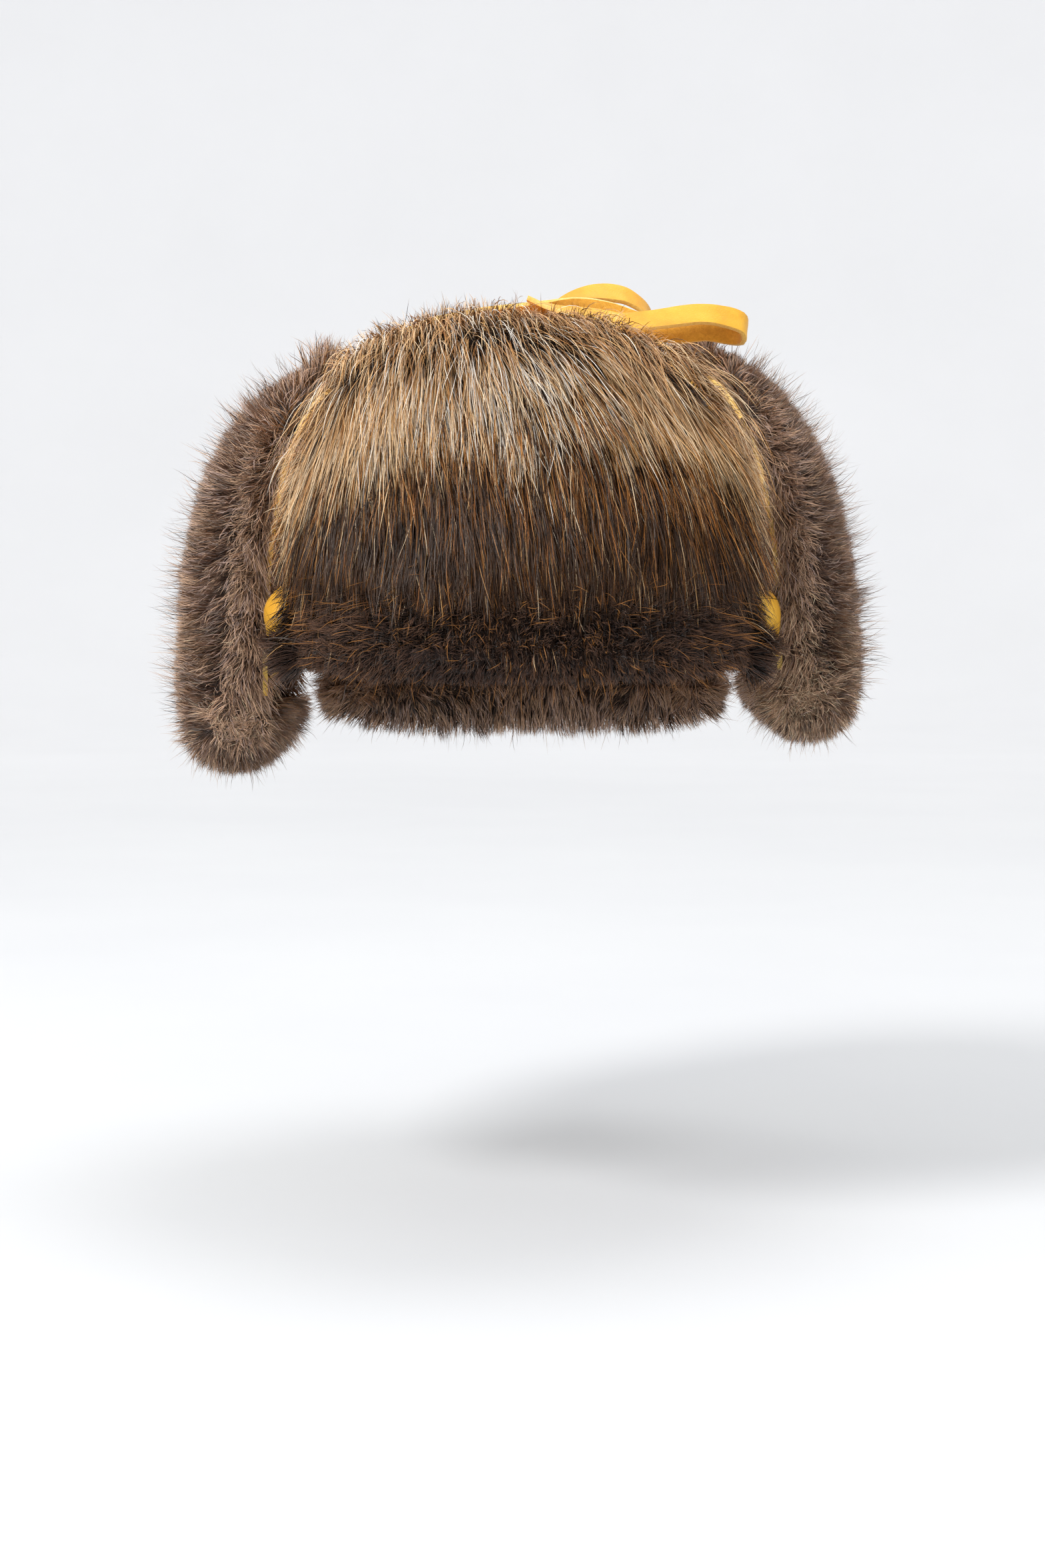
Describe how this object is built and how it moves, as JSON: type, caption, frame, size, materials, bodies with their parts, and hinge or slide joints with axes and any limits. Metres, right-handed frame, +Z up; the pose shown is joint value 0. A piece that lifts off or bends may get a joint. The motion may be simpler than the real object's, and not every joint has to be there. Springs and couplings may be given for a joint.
{
  "type": "trapper hat",
  "caption": "Trapper hat: domed leather crown with lining and sweatband, long-haired front flap and plush ear and neck flaps turned up, leather laces tied on top.",
  "frame": {"origin": "centre of the head opening, in the plane of the rim binding's underside", "axes": "+Z up through the crown, -Y towards the front flap and brow, +X towards the wearer's left ear, which is the viewer's right"},
  "size_m": [0.2346, 0.2656, 0.1667],
  "materials": {
    "gold_leather": "soft golden-yellow tanned leather, fine grain, slightly satin",
    "sweatband_leather": "smooth dark brown leather",
    "lining_cloth": "quilted satin lining",
    "interlining_felt": "wool felt",
    "guard_hair_pelt": "long glossy brown guard hair over woolly underfur",
    "underfur_pelt": "dense plush grey-brown fur"
  },
  "bodies": {
    "crown": {"crown_gore_front_left": "gold_leather", "crown_gore_front_right": "gold_leather", "crown_gore_rear_left": "gold_leather", "crown_gore_rear_right": "gold_leather", "lining_front_left": "lining_cloth", "lining_front_right": "lining_cloth", "lining_rear_left": "lining_cloth", "lining_rear_right": "lining_cloth", "sweatband": "sweatband_leather", "rim_binding": "gold_leather", "left_corner_fold": "gold_leather", "right_corner_fold": "gold_leather"},
    "front_flap": {"front_flap_leather": "gold_leather", "front_flap_interlining": "interlining_felt", "front_flap_pelt": "guard_hair_pelt"},
    "left_flap": {"left_flap_leather": "gold_leather", "left_flap_interlining": "interlining_felt", "left_flap_pelt": "underfur_pelt", "left_lace_tab": "gold_leather"},
    "right_flap": {"right_flap_leather": "gold_leather", "right_flap_interlining": "interlining_felt", "right_flap_pelt": "underfur_pelt", "right_lace_tab": "gold_leather"},
    "neck_flap": {"neck_flap_leather": "gold_leather", "neck_flap_interlining": "interlining_felt", "neck_flap_pelt": "underfur_pelt"},
    "left_lace": {"left_lace": "gold_leather"},
    "right_lace": {"right_lace": "gold_leather"}
  },
  "joints": [
    {"name": "front_flap_fold", "type": "hinge", "parent": "crown", "child": "front_flap", "pos_m": [0, -0.119, 0.0015], "axis": [1, 0, 0], "range_deg": [0, 100]},
    {"name": "left_flap_fold", "type": "hinge", "parent": "crown", "child": "left_flap", "pos_m": [-0.1015, 0.0085, -0.0245], "axis": [0, -1, 0], "range_deg": [0, 160]},
    {"name": "right_flap_fold", "type": "hinge", "parent": "crown", "child": "right_flap", "pos_m": [0.1005, 0.0085, -0.015], "axis": [0, 1, 0], "range_deg": [0, 160]},
    {"name": "neck_flap_fold", "type": "hinge", "parent": "crown", "child": "neck_flap", "pos_m": [0, 0.121, -0.02], "axis": [-1, 0, 0], "range_deg": [0, 165]},
    {"name": "left_lace_swing", "type": "hinge", "parent": "left_flap", "child": "left_lace", "pos_m": [-0.06, -0.004, 0.0948], "axis": [0, -1, 0], "range_deg": [0, 80]},
    {"name": "right_lace_swing", "type": "hinge", "parent": "right_flap", "child": "right_lace", "pos_m": [0.056, 0.004, 0.0993], "axis": [0, 1, 0], "range_deg": [0, 80]}
  ],
  "couplings": [
    {"joint": "left_lace_swing", "follows": "left_flap_fold", "ratio": 0.5},
    {"joint": "right_lace_swing", "follows": "right_flap_fold", "ratio": 0.5}
  ]
}
